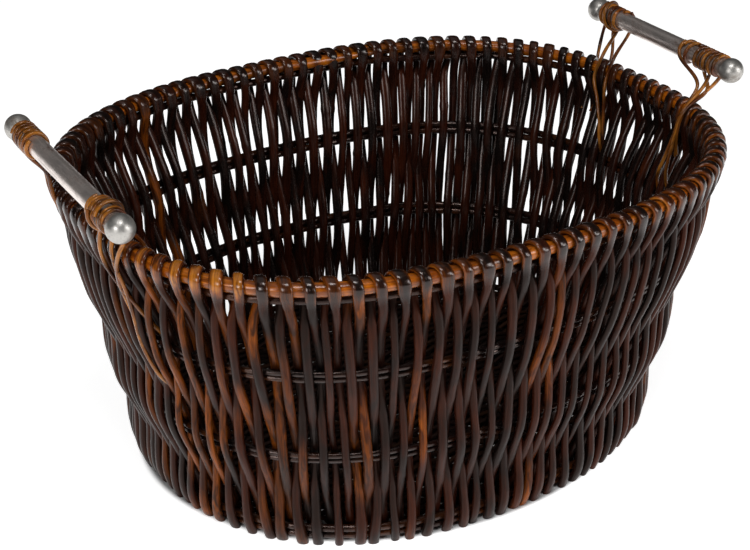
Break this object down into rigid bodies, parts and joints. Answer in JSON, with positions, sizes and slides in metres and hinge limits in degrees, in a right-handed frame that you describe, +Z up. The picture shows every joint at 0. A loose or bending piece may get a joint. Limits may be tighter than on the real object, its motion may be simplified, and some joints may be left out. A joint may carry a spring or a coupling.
{
  "type": "wicker log basket",
  "caption": "Open oval willow basket with tapering openwork sides, a thick rim and a raised bar handle lashed on at each end, for carrying and storing logs.",
  "frame": {"origin": "on the floor under the middle of the basket", "axes": "+X along the basket's length towards the right handle, +Y across it towards the back, +Z up"},
  "size_m": [0.5575, 0.4232, 0.2878],
  "materials": {
    "stake_willow": "buff-stained willow with a dull waxed bark, brown to grey-brown with orange streaks",
    "rim_willow": "varnished peeled willow, orange brown and glossy",
    "hoop_willow": "dark stained willow, satin",
    "floor_willow": "dark stained willow, satin",
    "cane": "split cane, varnished golden brown",
    "handle_steel": "brushed steel with brown tarnish patches",
    "ball_steel": "polished steel, lightly pitted"
  },
  "bodies": {
    "root": {"rim_hoop": "rim_willow", "under_rim_hoop": "hoop_willow", "upper_hoop_top": "hoop_willow", "upper_hoop_bottom": "hoop_willow", "lower_hoop_top": "hoop_willow", "lower_hoop_bottom": "hoop_willow", "base_hoop_top": "hoop_willow", "base_hoop_bottom": "hoop_willow", "floor_weave": "floor_willow", "floor_sticks": "floor_willow", "left_handle_bar": "handle_steel", "right_handle_bar": "handle_steel", "left_front_handle_ball": "ball_steel", "left_back_handle_ball": "ball_steel", "right_front_handle_ball": "ball_steel", "right_back_handle_ball": "ball_steel", "left_front_lashing": "cane", "left_back_lashing": "cane", "right_front_lashing": "cane", "right_back_lashing": "cane", "wall_stakes_01": "stake_willow", "wall_stakes_02": "stake_willow", "wall_stakes_03": "stake_willow", "wall_stakes_04": "stake_willow", "wall_stakes_05": "stake_willow", "wall_stakes_06": "stake_willow", "wall_stakes_07": "stake_willow", "wall_stakes_08": "stake_willow", "wall_stakes_09": "stake_willow", "wall_stakes_10": "stake_willow", "wall_stakes_11": "stake_willow", "wall_stakes_12": "stake_willow", "wall_stakes_13": "stake_willow", "wall_stakes_14": "stake_willow", "wall_stakes_15": "stake_willow", "wall_stakes_16": "stake_willow", "wall_stakes_17": "stake_willow", "wall_stakes_18": "stake_willow", "wall_stakes_19": "stake_willow", "wall_stakes_20": "stake_willow"}
  },
  "joints": []
}
